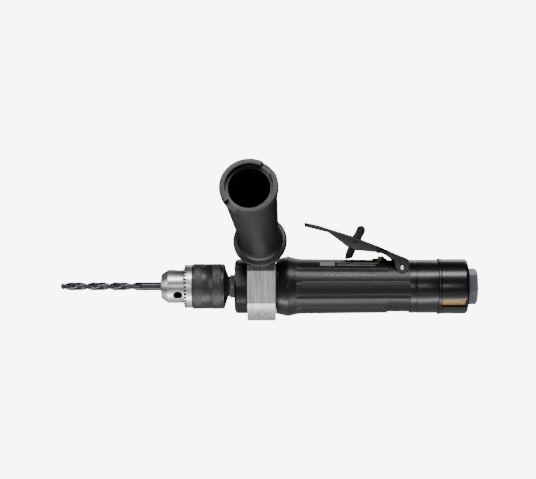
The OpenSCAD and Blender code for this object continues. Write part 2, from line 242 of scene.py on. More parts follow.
black_oxide = finish("black_oxide", (0.04, 0.042, 0.047), 0.3, metal=0.75, grain=0.15, grain_scale=2500,
                     tone=0.25, worn=0.5)
drill_tip = -355.4
drill_end = drill_tip + 109
flute_end = drill_tip + 69
flute_lead = 38.0
drill_r = 3.5
point_rise = math.tan(math.radians(59))


def drill_radius(part):
    """Radius of the ground section, as a share of the bar's, at a share of one half turn."""
    margin, land = 0.06, 0.44
    if part < margin:
        return 1.0
    if part < land:
        return 0.955
    return 0.955 - 0.63 * math.sin(math.pi * (part - land) / (1 - land)) ** 0.75


def drill_shape(x, r, turn):
    if r < 0.01:
        return x, r
    twist = (turn + 360 * (x - drill_tip) / flute_lead) % 180 / 180
    full = 1 - min(1, max(0, (x - flute_end + 9) / 9))
    share = 1 - (1 - drill_radius(twist)) * full ** 0.7
    return x, min(drill_r * share, 0.15 + (x - drill_tip) * point_rise)


drill_line = [(drill_tip, 0.0), (drill_tip, 0.15)]
drill_line += [(drill_tip + 0.3 * k, drill_r) for k in range(1, 9)]
drill_line += [(drill_tip + 2.4 + 0.9 * k, drill_r) for k in range(1, 76)]
drill_line += [(drill_end - 0.8, drill_r), (drill_end, drill_r - 0.7), (drill_end, 0.0)]
drill = link_mesh("twist_drill", *around(drill_line, degrees(5), drill_shape))
fit_piece(drill, black_oxide, "black_oxide", "drill", "drill_bit", crease=35)


# ---- Chuck body -------------------------------------------------------------
# The polished steel nose of a keyed three-jaw chuck, turned from bar, with
# three round holes for the key's pilot and three slanted bores for the jaws.
def cut(piece, *cutters):
    """Takes the cutters' shapes out of a piece and removes them."""
    for cutter in cutters:
        step = piece.modifiers.new("cut", "BOOLEAN")
        step.operation = "DIFFERENCE"
        step.solver = "EXACT"
        step.object = cutter
    return bake(piece, cutters)


def bake(piece, helpers=()):
    """Applies a piece's modifiers and removes their helper shapes."""
    shown = bpy.context.evaluated_depsgraph_get()
    shown.update()
    mesh = bpy.data.meshes.new_from_object(piece.evaluated_get(shown))
    piece.modifiers.clear()
    piece.data = mesh
    for helper in helpers:
        bpy.data.objects.remove(helper)
    return piece


def spun(name, outline, turn=0, base=(0, 0, 0), axis="Z", steps=40, shape=None):
    """A turned shape of (height, r) pairs standing along an axis from a base point, for cutters,
    pins and bushings. With axis E it points out at a turn above the near horizontal."""
    points, faces = around(outline, [k * 360 / steps for k in range(steps)], shape)
    if axis == "Z":
        swing = Matrix.Rotation(math.radians(-90), 3, "Y")
    elif axis == "Y":
        swing = Matrix.Rotation(math.radians(90), 3, "Z")
    elif axis == "E":
        swing = Matrix.Rotation(math.radians(-turn), 3, "X") @ Matrix.Rotation(math.radians(-90), 3, "Z")
    else:
        swing = axis
    moved = [Vector(base) + swing @ Vector(p) for p in points]
    return link_mesh(name, moved, faces)


box_faces = [(0, 1, 3, 2), (4, 6, 7, 5), (0, 4, 5, 1), (2, 3, 7, 6), (0, 2, 6, 4), (1, 5, 7, 3)]


def block(name, low, high):
    """A plain box used only as a cutter."""
    corners = [(x, y, z) for x in (low[0], high[0]) for y in (low[1], high[1]) for z in (low[2], high[2])]
    return link_mesh(name, corners, box_faces)


def paint_hole_shade(piece, inside):
    """Gives the faces down in a hole or gap a near-black, dull finish as painted shade, since little light
    reaches there.
    """
    piece.data.materials.append(painted_hole_shade)
    for face in piece.data.polygons:
        x, y, z = face.center / MM
        if inside(x, math.hypot(y, z)):
            face.material_index = 1


# Near-black painted shade for faces down in holes and gaps.
painted_hole_shade = finish("painted_hole_shade", (0.012, 0.012, 0.012), 0.7, metal=0.2, grain=0.2)
chuck_steel = finish("chuck_steel", (0.6, 0.59, 0.56), 0.36, metal=1.0, grain=0.05, grain_scale=500,
                     stretch=(30, 1, 1), tone=0.1, tone_scale=20, aniso=0.5)
jaw_turns = [27.6, 147.6, 267.6]
key_turns = [-32.4, 87.6, 207.6]
nose_line = eased([
    (-268.8, 4.2, 0.3), (-268.8, 10.3, 0.5), (-263.0, 14.2, 0.7), (-249.2, 14.2, 0), (-249.2, 13.0, 0),
    (-213.3, 13.0, 0.3), (-211.5, 8.5, 0.4), (-210.4, 8.5, 0), (-210.4, 6.4, 0), (-231, 6.4, 0),
    (-231, 0.05, 0), (-244, 0.05, 0), (-244, 4.2, 0)])
chuck_nose = link_mesh("chuck_nose", *around(nose_line, degrees(3)))
key_hole = [(7.5, 0), (7.5, 3.5), (13.2, 3.5), (14.6, 4.4), (17, 4.4), (17, 0)]
jaw_bore = [(-8, 0), (-8, 3.3), (32, 3.3), (32, 0)]
cutters = [spun(f"key_cut_{i}", key_hole, turn, (-254.3, 0, 0), "E") for i, turn in enumerate(key_turns)]
for i, turn in enumerate(jaw_turns):
    lean = Matrix.Rotation(math.radians(-turn), 3, "X") @ Matrix.Rotation(math.radians(-15), 3, "Z")
    foot = Matrix.Rotation(math.radians(-turn), 3, "X") @ Vector((-268.8, -5.9, 0))
    cutters.append(spun(f"jaw_cut_{i}", jaw_bore, 0, foot, lean))
cut(chuck_nose, *cutters)
fit_piece(chuck_nose, chuck_steel, "bright_steel", "spindle_set", "chuck_body", crease=28)
# The nose's inner bore and the inside of its rear rim get painted shade.
paint_hole_shade(chuck_nose, lambda x, r: x > -213.5 or -262 < x < -244 and r < 13.4)


# ---- Chuck jaws -------------------------------------------------------------
# Three hardened pins ground flat where they grip the drill. They slide in
# the slanted bores when the chuck sleeve is turned.
jaw_steel = finish("jaw_steel", (0.3, 0.3, 0.31), 0.35, metal=1.0, grain=0.1, tone=0.15, worn=0.3)
for i, (turn, letter) in enumerate(zip(jaw_turns, "abc")):
    tilt = Matrix.Rotation(math.radians(-turn), 3, "X")
    slant = tilt @ Matrix.Rotation(math.radians(-15), 3, "Z")
    shank = eased([(0.2, 0, 0), (0.2, 3.0, 0.5), (24, 3.0, 0.5), (24, 0, 0)], 3)
    jaw = spun(f"jaw_{letter}", shank, 0, tilt @ Vector((-268.8, -5.9, 0)), slant)
    grip_cut = block("grip_cut", (-275, -3.7, -6), (-235, 4.3, 6))
    tip_cut = block("tip_cut", (-280, -20, -8), (-269.2, 10, 8))
    for cutter in (grip_cut, tip_cut):
        cutter.rotation_euler = (math.radians(-turn), 0, 0)
    cut(jaw, grip_cut, tip_cut)
    fit_piece(jaw, jaw_steel, "steel", f"jaw_{letter}", f"jaw_{i + 1}")


# ---- Chuck sleeve and crown ring --------------------------------------------
# The sleeve turns on the chuck body. It has two bands of diamond knurling,
# a plain band between them, and a bright ring with key teeth on its front.
gunmetal = finish("gunmetal", (0.05, 0.049, 0.048), 0.42, metal=0.85, grain=0.15, grain_scale=1400,
                  tone=0.12, tone_scale=1800, worn=0.75, sheen_rough=0.04)
crown_steel = finish("crown_steel", (0.62, 0.62, 0.61), 0.34, metal=1.0, grain=0.15, grain_scale=1200,
                     tone=0.06, tone_scale=40)
knurl_bands = ((-240.4, -233.6), (-225.0, -217.8))
knurls = 72
knurl_height = 0.5
knurl_r = 19.2


def sleeve_shape(x, r, turn):
    for low, high in knurl_bands:
        if low < x < high and r > 18:
            slide = (x - low) * 360 / (2 * math.pi * knurl_r)
            a = math.sin(math.radians((turn + slide) * knurls))
            b = math.sin(math.radians((turn - slide) * knurls))
            rim = min(1, (x - low) / 0.4, (high - x) / 0.4)
            return x, r - knurl_height * rim * (0.5 - 0.25 * (a + b))
    return x, r


sleeve_line = eased([(-242.1, 17.35, 0), (-242.1, 18.7, 0.2), (-241.5, 19.25, 0.3), (-240.4, 19.3, 0)], 2)
for low, high in knurl_bands:
    sleeve_line += [(low + (high - low) * k / 20, 19.35) for k in range(21)]
    if high < -230:
        sleeve_line += eased([(-233.3, 19.1, 0.15), (-225.3, 19.1, 0.15)], 2)
sleeve_line += eased([(-217.5, 18.85, 0.1), (-216.9, 18.85, 0.1), (-216.6, 19.3, 0.2), (-215.1, 19.1, 0.5),
                      (-213.4, 13.5, 0.2), (-232, 13.5, 0), (-232, 17.35, 0)], 3)
sleeve = link_mesh("chuck_sleeve_knurled", *around(sleeve_line, degrees(1), sleeve_shape))
fit_piece(sleeve, gunmetal, "gunmetal", "chuck_ring", "chuck_sleeve", crease=50)

crown_teeth = 36
tooth_depth = 2.6
tooth_root = 15.8
gap_half = 2.4


def crown_shape(x, r, turn):
    place = turn % (360 / crown_teeth)
    gap = place < gap_half or place > 360 / crown_teeth - gap_half
    if x < -246.75 and r > tooth_root and gap:
        return x, max(tooth_root, r - tooth_depth)
    return x, r


crown_turns = [10 * k + d for k in range(crown_teeth) for d in (0, 1.6, 2.4, 2.8, 5, 7.2, 7.6, 8.4)]
crown_line = [(-249, 14.7), (-249, 17.9), (-248.6, 18.4), (-247.2, 18.4), (-246.7, 18.4), (-246.6, 18.4),
              (-242.5, 18.4), (-242.1, 18.1), (-242.1, 17.3), (-247.4, 17.3), (-247.4, 14.7)]
crown = link_mesh("crown_teeth_ring", *around(crown_line, crown_turns, crown_shape))
fit_piece(crown, crown_steel, "bright_steel", "chuck_ring", "crown_ring", crease=25)
# The crown ring's inner faces get painted shade.
paint_hole_shade(crown, lambda x, r: x < -246.6 and r < 17.2)


# ---- Spindle flats ----------------------------------------------------------
# The hexagon behind the chuck takes a spanner while the chuck is screwed on.
# It is one piece with the planet carrier and the bearing seat inside.
spindle_steel = finish("spindle_steel", (0.022, 0.022, 0.023), 0.5, metal=0.8, grain=0.2, tone=0.2, worn=0.4)
spindle_flat = 9.7


def hex_shape(half_flat, start, low, high):
    """Trims a round bar to six flats between two places along X."""
    def shape(x, r, turn):
        if low <= x <= high:
            side = (turn - start) % 60 - 30
            return x, min(r, half_flat / math.cos(math.radians(side)))
        return x, r
    return shape


spindle_line = eased([(-231, 0, 0), (-231, 6.25, 0.3), (-210.3, 6.25, 0)], 3)
spindle_line += eased([(-210.3, 10.2, 0), (-209.7, 11.2, 0), (-206.9, 11.2, 0), (-206.3, 10.2, 0),
                       (-206.3, 7.6, 0), (-203, 7.6, 0), (-203, 9.2, 0.2), (-196, 9.2, 0.2), (-196, 7.6, 0),
                       (-190, 7.6, 0), (-190, 15, 0.4), (-182, 15, 0.4), (-182, 0, 0)], 3)
spindle = link_mesh("spindle_with_flats",
                    *around(spindle_line, degrees(3), hex_shape(spindle_flat, 0, -210.4, -206.2)))
fit_piece(spindle, spindle_steel, "grey_steel", "spindle_set", "spindle", crease=20)


# ---- Front collar -----------------------------------------------------------
# A blackened steel nut with four spanner flats. It screws into the gear case,
# holds the front bearing and keeps the handle clamp on its neck.
collar_black = finish("collar_black", (0.0048, 0.0050, 0.0054), 0.37, shine=0.32, metal=0.35, grain=0.25,
                      grain_scale=1300, tone=0.2, worn=0.25)
collar_flat = 20.7
collar_turn = 28
collar_corner = 25.84


def collar_shape(x, r, turn):
    side = (turn - collar_turn + 45) % 90 - 45
    return x, min(r, collar_flat / math.cos(math.radians(side)))


collar_line = eased([(-206.2, 8.2, 0.3), (-206.2, 20.6, 0.4), (-204.6, 23, 0.5), (-195.8, 23, 0.3),
                     (-195.5, 22.6, 0), (-195.5, 14.05, 0), (-203.2, 14.05, 0), (-203.2, 8.2, 0)], 4)
flat_edges = {round(collar_turn + q * 90 + d, 3) for q in range(4) for d in (-collar_corner, collar_corner)}
collar_turns = sorted({round(t, 3) for t in degrees(3)} | flat_edges)
collar = link_mesh("front_collar_nut", *around(collar_line, collar_turns, collar_shape))
fit_piece(collar, collar_black, "blackened_steel", "housing", "front_collar", crease=14)


# ---- Handle clamp -----------------------------------------------------------
# A sawn and milled aluminium ring on the gear case neck. Two ears on its far
# upper side are pulled together across a slot by the side handle's stud.
raw_aluminium = finish("raw_aluminium", (0.42, 0.42, 0.415), 0.42, metal=0.75, grain=0.5, grain_scale=420,
                       stretch=(3, 1, 0.15), tone=0.3, tone_scale=200, sheen_rough=0.16)
clamp_r = 29.2
clamp_flat = 25.8
clamp_from, clamp_to = -195.3, -171.3
clamp_middle = -183.3
clamp_bore = 19.3
handle_rise = 20.3
handle_lean = 3.4
stud_offset = 26.5
stud_x = -182
rise = Matrix.Rotation(math.radians(-handle_rise), 3, "X")
handle_frame = (rise @ Matrix.Rotation(math.radians(-handle_lean), 3, "Z")
                @ Matrix.Rotation(math.radians(-90), 3, "Z"))
stud_root = Vector((stud_x, 0, 0)) + rise @ Vector((0, 0, stud_offset))


def clamp_shape(x, r, turn):
    side = (turn + 180) % 360 - 180
    if abs(side) < 60 and r > 24:
        return x, min(r, clamp_flat / math.cos(math.radians(side)) - (clamp_r - r))
    return x, r


clamp_line = eased([(clamp_from, clamp_bore, 0.4), (clamp_from, clamp_r, 0.7), (clamp_to, clamp_r, 0.7),
                    (clamp_to, clamp_bore, 0.4)], 4)
flat_half = math.degrees(math.acos(clamp_flat / clamp_r))
clamp_turns = sorted({round(t, 3) for t in degrees(2)} | {round(flat_half, 3), round(360 - flat_half, 3)})
clamp = link_mesh("clamp_ring", *around(clamp_line, clamp_turns, clamp_shape))
ear_line = eased([(-15.5, 0, 0), (-15.5, 9.4, 1), (17.5, 9.4, 0.6), (17.5, 0, 0)], 4)
ears = spun("clamp_ears", ear_line, 0, stud_root, handle_frame, 64)
cut(ears, block("ear_front", (clamp_from - 20, -60, -60), (clamp_from + 0.15, 60, 60)),
    block("ear_rear", (clamp_to - 0.15, -60, -60), (clamp_to + 20, 60, 60)))
join = clamp.modifiers.new("join", "BOOLEAN")
join.operation = "UNION"
join.solver = "EXACT"
join.object = ears
bake(clamp, (ears,))
bore_cut = spun("bore_cut", [(-14, 0), (-14, clamp_bore), (14, clamp_bore), (14, 0)], 0,
                (clamp_middle, 0, 0), Matrix.Identity(3), 120)
spot_cut = spun("spot_cut", [(17.5, 0), (17.5, 9.3), (40, 9.3), (40, 0)], 0, stud_root, handle_frame, 64)
stud_cut = spun("stud_cut", [(-30, 0), (-30, 4.3), (17.6, 4.3), (17.6, 0)], 0, stud_root, handle_frame, 48)
slot_cut = block("slot_cut", (-1.5, -30, -9), (1.5, 30, 15))
slot_cut.matrix_world = Matrix.Translation(stud_root * MM) @ handle_frame.to_4x4()
cut(clamp, bore_cut, spot_cut, stud_cut, slot_cut)
fit_piece(clamp, raw_aluminium, "aluminium", "clamp_ring", "handle_clamp", crease=16)


# ---- Side handle ------------------------------------------------------------
# A hollow moulded handle in matt black plastic, flared to an open end whose
# rim has two notches. A steel stud with a round shoulder is moulded into its
# flange and screws through the clamp.
handle_black = finish("handle_black", (0.0060, 0.0060, 0.0062), 0.42, shine=0.45, grain=0.35,
                      grain_scale=1500, tone=0.12, tone_scale=35, worn=0.12)
notch_turns = (133, 311)
notch_half = 14.8
notch_floor = 159.0
rim_end = 162.3
flange_back = 37.85
handle_points = [
    (flange_back, 4.1, 0), (flange_back, 21.8, 0.8), (38.7, 22.6, 0.6), (41.4, 22.6, 0.8), (42.4, 21.6, 0.8),
    (43.2, 19.0, 0.8), (45.4, 17.3, 1.5), (48.8, 16.7, 2), (59.8, 16.8, 3), (77.8, 17.6, 5), (100.8, 18.7, 5),
    (133.8, 20.3, 5), (151.8, 21.4, 4), (155.8, 22.2, 1.2), (157.2, 22.9, 0.6), (rim_end, 23.0, 0.9),
    (rim_end, 18.5, 0.6), (158.25, 18.5, 0.2), (158.15, 16.3, 0.4), (120, 14.85, 0), (90, 13.8, 0),
    (57.5, 12.7, 1.0), (56, 0.05, 0), (54, 0.05, 0), (54, 4.1, 0)]


def handle_shape(x, r, turn):
    for middle in notch_turns:
        away = abs((turn - middle + 180) % 360 - 180)
        if away < notch_half and x > notch_floor and r > 17.5:
            return notch_floor + (x - rim_end) * 0.02, r
    return x, r


handle_turns = degrees(3)
for middle in notch_turns:
    for edge in (-notch_half, notch_half):
        handle_turns += [middle + edge - 0.35, middle + edge + 0.35]
handle_turns = sorted({round(t % 360, 3) for t in handle_turns})
points, faces = around(eased(handle_points, 5), handle_turns, handle_shape)
handle = link_mesh("side_handle_shell", [stud_root + handle_frame @ Vector(p) for p in points], faces)
fit_piece(handle, handle_black, "handle_black", "handle", "side_handle", crease=33)

stud_steel = finish("stud_steel", (0.34, 0.34, 0.35), 0.35, metal=1.0, grain=0.2, stretch=(6, 1, 1),
                    tone=0.12, worn=0.3)
stud_r = 4.0
thread_pitch = 1.25
thread_depth = 0.55


def stud_shape(x, r, turn):
    if -14.5 < x < 16.5 and 3.9 < r < 4.1:
        climb = (x / thread_pitch + turn / 360) % 1
        return x, stud_r - thread_depth * abs(2 * climb - 1)
    return x, r


stud_line = [(-14.8, 0), (-14.8, 3.2)] + [(-14.3 + 0.25 * k, stud_r) for k in range(124)]
stud_line += eased([(17.8, stud_r, 0), (17.8, 8.8, 0.7), (37.7, 8.8, 0.7), (37.7, stud_r, 0),
                    (53.2, stud_r, 0.4), (53.2, 0, 0)], 3)
stud = spun("handle_stud_thread", stud_line, 0, stud_root, handle_frame, 48, stud_shape)
fit_piece(stud, stud_steel, "steel", "handle", "handle_stud", crease=40)


# ---- Gear case --------------------------------------------------------------
# The black flared case between clamp and grip holds the planet gears. Its neck
# runs forward under the clamp, and its rear edge meets the grip in a ridge.
case_black = finish("case_black", (0.0027, 0.0027, 0.0028), 0.31, shine=0.32, grain=0.12, grain_scale=1700,
                    tone=0.15, tone_scale=50, worn=0.1, coat=0.15)
case_line = eased([(-195.5, 9.2, 0), (-195.5, 19, 0.5), (-171.1, 19, 0.2), (-171.1, 23.2, 0.25),
                   (-169.4, 23.6, 2), (-163.4, 25.1, 3), (-160.95, 25.5, 0.3), (-160.8, 25.2, 0),
                   (-160.8, 17.2, 0), (-192, 17.2, 0), (-192, 9.2, 0)], 5)
case = link_mesh("gear_case_flare", *around(case_line, degrees(2)))
fit_piece(case, case_black, "black_paint", "housing", "gear_case", crease=30)


# ---- Grip -------------------------------------------------------------------
# The motor housing is the grip: an aluminium barrel with a baked matt black
# coat and ten long rounded grooves; two of the twelve places, on top, stay
# plain. A shallow recess runs round its underside near the rear.
grip_black = finish("grip_black", (0.0032, 0.0032, 0.0032), 0.38, shine=0.32, grain=0.3, grain_scale=1500,
                    tone=0.14, tone_scale=45, worn=0.12, coat=0.05)
grip_r = 23.32
grip_taper = 0.72
taper_from = -147
taper_length = 67
grip_rear_r = 22.6
groove_first = -20.5
groove_step = 30
groove_turns = [groove_first + groove_step * k for k in range(12)]
plain_turns = (69.5, 99.5)
groove_half = 1.5
groove_depth = 0.95
groove_ends = {39.5: -77.5, 129.5: -77.5, 309.5: -79.8, 219.5: -79.8}
panel_from, panel_to = 206, 334
panel_r = 21.5


def grip_shape(x, r, turn):
    if r < 19:
        return x, r
    if -76.35 < x < -57.7 and panel_from < turn < panel_to:
        return x, panel_r
    place = (turn - groove_first) % groove_step
    place = min(place, groove_step - place)
    off = math.radians(place) * r
    if off >= groove_half:
        return x, r
    count = (turn - groove_first + groove_step / 2) // groove_step
    middle = round(groove_first + count * groove_step, 1)
    if middle in plain_turns:
        return x, r
    end = groove_ends.get(middle, -57.6)
    fade = min(1, max(0, (x + 152.0) / 2.2)) * min(1, max(0, (end + 0.3 - x) / 2.2))
    fade = math.sqrt(max(0, 1 - (1 - fade) ** 2))
    return x, r - groove_depth * fade * (0.5 + 0.5 * math.cos(math.pi * off / groove_half)) ** 0.75


grip_line = eased([(-160.8, 25.2, 0), (-160.65, 25.5, 0.3), (-151.8, 23.45, 4)], 6)
grip_line += [(-150.2, 23.38), (-149.4, 23.36), (-148.4, 23.34)]
grip_line += [(taper_from + 3.5 * k, grip_r - grip_taper * (3.5 * k) / taper_length) for k in range(19)]
grip_line += [(x, grip_rear_r) for x in (-81.6, -80.6, -79.4, -78.4, -77.4, -76.55, -76.3, -72, -66, -62,
                                         -60.5, -59.4, -58.5, -57.75, -57.6)]
grip_line += [(-57.6, 8.6), (-90, 8.6), (-90, 3.5), (-96, 3.5), (-96, 18.5), (-160.8, 18.5)]
groove_sides = (0.9, 1.7, 2.5, 3.3, 3.9, 6, 9, 12)
groove_offsets = {0, 15} | {side * d for side in (-1, 1) for d in groove_sides}
grip_turns = {round((t + d) % 360, 3) for t in groove_turns for d in groove_offsets}
grip_turns |= {panel_from - 0.3, panel_from + 0.3, panel_to - 0.3, panel_to + 0.3}
grip = link_mesh("grip_barrel", *around(grip_line, sorted(grip_turns), grip_shape))
pin_place = (-64.7, 16.5)
pin_base = (pin_place[0], 0, pin_place[1])
bushing_base = (-82.8, 0, 0)
seat_cuts = [block("seat_cut", (-62.6, -24, 19.6), (-58.7, 24, 26))]
for near, far in ((-24.7, -16.7), (16.7, 24.7)):
    seat_cuts.append(spun("ear_cut", [(near, 0), (near, 5.4), (far, 5.4), (far, 0)], 0, pin_base, "Y", 48))
seat_cuts.append(spun("bushing_cut", [(6.4, 0), (6.4, 6.45), (27, 6.45), (27, 0)], 0, bushing_base))
seat_cuts.append(spun("pin_cut", [(-30, 0), (-30, 2.05), (30, 2.05), (30, 0)], 0, pin_base, "Y", 32))
cut(grip, *seat_cuts)
fit_piece(grip, grip_black, "black_paint", "housing", "grip_housing", crease=26)


# ---- Valve housing and stop ring --------------------------------------------
# The throttle valve's housing closes the grip's rear end, with a fine turned
# line round it. A raised ring behind it stops the exhaust sleeve.
valve_black = finish("valve_black", (0.0032, 0.0032, 0.0034), 0.28, shine=0.32, grain=0.1, grain_scale=1800,
                     tone=0.12, tone_scale=40, worn=0.1, coat=0.2)
valve_r = 22.7
line_r = 22.2
valve_line = eased([(-57.6, 7, 0), (-57.6, valve_r, 0.15), (-52.45, valve_r, 0.1), (-52.35, line_r, 0.05),
                    (-51.95, line_r, 0.05), (-51.85, valve_r, 0.1), (-33.7, valve_r, 0.2), (-33.7, 10.55, 0),
                    (-46, 10.55, 0), (-46, 7, 0)], 3)
valve = link_mesh("valve_housing_shell", *around(valve_line, degrees(2)))
fit_piece(valve, valve_black, "black_paint", "housing", "valve_housing", crease=30)

stop_line = eased([(-33.6, 10.6, 0), (-33.6, 23.8, 0.5), (-31.4, 23.8, 0.5), (-31.4, 10.6, 0)], 4)
stop = link_mesh("sleeve_stop_ring", *around(stop_line, degrees(2)))
fit_piece(stop, valve_black, "black_plastic", "housing", "stop_ring", crease=35)


# ---- Exhaust sleeve and silencer --------------------------------------------
# A thin black sleeve turns on the rear end to aim the exhaust through its one
# slot. The sintered bronze silencer shows through the slot.
sleeve_black = finish("sleeve_black", (0.0030, 0.0030, 0.0032), 0.25, shine=0.32, grain=0.08,
                      grain_scale=1800, tone=0.12, tone_scale=40, worn=0.12, coat=0.25)
exhaust_line = eased([(-31.2, 21.8, 0), (-31.2, 23.3, 0.3), (-8.1, 23.3, 3.4), (-8.1, 11, 0.4),
                      (-10.3, 11, 0), (-10.3, 21.8, 0)], 7)
exhaust = link_mesh("exhaust_sleeve_shell", *around(exhaust_line, degrees(2)))
slot_low, slot_high = -47, -28
slot_points = []
for x in (-32.5, -10.3):
    for reach in (20.5, 27):
        for turn in (slot_low, slot_high):
            angle = math.radians(turn)
            slot_points.append((x, -reach * math.cos(angle), reach * math.sin(angle)))
slot_cut = link_mesh("exhaust_cut", slot_points, box_faces)
cut(exhaust, slot_cut)
fit_piece(exhaust, sleeve_black, "black_plastic", "exhaust", "exhaust_sleeve", crease=30)

bronze = finish("sintered_bronze", (0.2, 0.135, 0.06), 0.5, metal=0.9, grain=0.9, grain_scale=1100,
                tone=0.25, tone_scale=400, sheen_rough=0.2)
bronze_line = eased([(-31.35, 10.65, 0.2), (-31.35, 21.35, 0.5), (-10.65, 21.35, 0.5),
                     (-10.65, 10.65, 0.2)], 3)
silencer = link_mesh("silencer_shell", *around(bronze_line, degrees(2)))
fit_piece(silencer, bronze, "bronze", "housing", "silencer_core", crease=35)


# ---- Air inlet --------------------------------------------------------------
# The steel inlet bushing has a hexagon for the spanner and an inside thread for
# the hose nipple. Its long neck holds the silencer and screws into the housing.
inlet_steel = finish("inlet_steel", (0.10, 0.105, 0.12), 0.36, metal=0.6, grain=0.2, grain_scale=1200,
                     tone=0.15, worn=0.4)
inlet_flat = 13.5
inlet_start = 41
inlet_bore = 7.48
inlet_pitch = 1.34
thread_rise = 0.55


def inlet_shape(x, r, turn):
    if x > -8 and r > 12:
        side = (turn - inlet_start) % 60 - 30
        return x, min(r, inlet_flat / math.cos(math.radians(side)))
    if -13.9 < x < -0.7 and 7.4 < r < 7.6:
        climb = (x / inlet_pitch - turn / 360) % 1
        return x, inlet_bore + thread_rise * abs(2 * climb - 1)
    return x, r


inlet_line = [(-45.8, 6), (-45.8, 10.2), (-45.4, 10.5), (-7.7, 10.5), (-7.7, 14.2)]
inlet_line += [(-7.2, 15.0), (-6.6, 15.59), (-1.5, 15.59), (-0.8, 15.1), (0, 13.7), (0, 8.3), (-0.6, 7.6)]
inlet_line += [(-0.7 - 0.22 * k, inlet_bore) for k in range(60)] + [(-14, 6)]
inlet_turns = sorted({round((t + inlet_start) % 360, 3) for t in degrees(3)})
inlet = link_mesh("inlet_hexagon", *around(inlet_line, inlet_turns, inlet_shape))
fit_piece(inlet, inlet_steel, "grey_steel", "housing", "inlet_bushing", crease=20)


# ---- Throttle plunger and its bushing ---------------------------------------
# The lever pushes a brass plunger down through a black bushing pressed into the
# top of the grip. The plunger's foot lifts the air valve off its seat.
brass = finish("plunger_brass", (0.62, 0.45, 0.2), 0.3, metal=1.0, grain=0.15, stretch=(1, 1, 8),
               tone=0.12, worn=0.3)
plunger_base = (-81.6, 0, 0)
plunger_r = 3.0
bushing = spun("plunger_bushing", eased([(7.2, 0, 0), (7.2, 6.4, 0.3), (23.9, 6.4, 0.9), (23.9, 0, 0)], 4), 0,
               bushing_base, steps=48)
bore = spun("bore_cut", [(6, 0), (6, 3.08), (26, 3.08), (26, 0)], 0, plunger_base, steps=48)
cut(bushing, bore)
fit_piece(bushing, valve_black, "black_plastic", "housing", "valve_bushing", crease=35)

plunger_line = eased([(4.6, 0, 0), (4.6, 4.6, 0.3), (6.6, 4.6, 0.3), (6.6, plunger_r, 0.2),
                      (24.3, plunger_r, 0.15), (24.5, 2.75, 0.1), (24.8, 2.75, 0.1), (24.95, plunger_r, 0.1),
                      (25.2, plunger_r, 0.3), (25.8, 2.0, 0.3), (25.8, 0, 0)], 3)
plunger = spun("throttle_plunger_rod", plunger_line, 0, plunger_base, steps=48)
fit_piece(plunger, brass, "brass", "plunger", "throttle_plunger", crease=40)


# ---- Throttle lever ---------------------------------------------------------
# Pressed from sheet steel into a channel and blackened. Two ears at the rear
# hang on a pin across the housing; the front end is flattened into a tongue,
# and a pad inside meets the plunger at full press.
lever_black = finish("lever_black", (0.0067, 0.0069, 0.0073), 0.37, shine=0.32, metal=0.25, grain=0.3,
                     grain_scale=1500, tone=0.18, tone_scale=60, worn=0.3)
lever_top = ((-146.9, 54.5), (-139.9, 53.1), (-133.9, 51.6), (-126.5, 49.2), (-105.6, 42.6), (-98.2, 39.7),
             (-83.6, 34.1), (-70.5, 28.0), (-60, 23.9), (-59.2, 22.8))
lever_low = ((-146.9, 51.1), (-137.8, 48.9), (-126.5, 46.1), (-119, 40.8), (-109.9, 33.8), (-102.5, 30.7),
             (-89.6, 29.5), (-81.7, 28.7), (-76, 26.2), (-71.2, 22.4), (-70.8, 18.5), (-69.8, 15.6))
lever_half = ((-143, 8.7), (-124, 9.5), (-85.5, 9.5), (-76, 19.1), (-57, 19.1))
lever_inside = ((-143, 7.3), (-124, 7.9), (-86.3, 7.9), (-76.7, 17.3), (-57, 17.3))
sheet = 1.8
ear_drop = 4.5
ear_front, ear_back = 5.2, 5.6
tongue_length = 4.5


def along(table, x):
    """Height read off a line of (x, height) points."""
    for (x0, h0), (x1, h1) in zip(table, table[1:]):
        if x <= x1:
            return h0 + (h1 - h0) * max(0, x - x0) / (x1 - x0)
    return table[-1][1]


def ear_low(x):
    """Lower edge of the lever's side, with the rounded ear about the pin at the rear."""
    if x < -69.8:
        return along(lever_low, x)
    reach = ear_front if x < pin_place[0] else ear_back
    share = min(1, abs(x - pin_place[0]) / reach)
    return pin_place[1] - ear_drop * math.sqrt(1 - share * share)


def lever_section(x):
    """The channel's outline across the lever at one place: outside, then back along the inside."""
    top = (along(lever_top, x - 0.8) + along(lever_top, x) + along(lever_top, x + 0.8)) / 3
    low = min(ear_low(x), top - 0.8)
    half, inside = along(lever_half, x), along(lever_inside, x)
    tip = min(1, (x + 147.1) / tongue_length)
    trim = tongue_length * (1 - math.sqrt(max(0, 1 - (1 - tip) ** 2)))
    half, inside = half - trim, inside - trim
    bend = min(2.2, (top - low) * 0.8)
    fold = max(0.15, bend - sheet)
    roof = max(top - sheet, low + 0.05)
    corner = [k * math.pi / 10 for k in range(6)]
    outer = [(-half, low)]
    outer += [(-half + bend * (1 - math.cos(a)), top - bend * (1 - math.sin(a))) for a in corner]
    inner = [(-inside, low)]
    inner += [(-inside + fold * (1 - math.cos(a)), max(low, roof - fold * (1 - math.sin(a)))) for a in corner]
    ring = outer + [(-y, z) for y, z in reversed(outer)] + [(-y, z) for y, z in inner] + list(reversed(inner))
    return [(x, y, z) for y, z in ring]


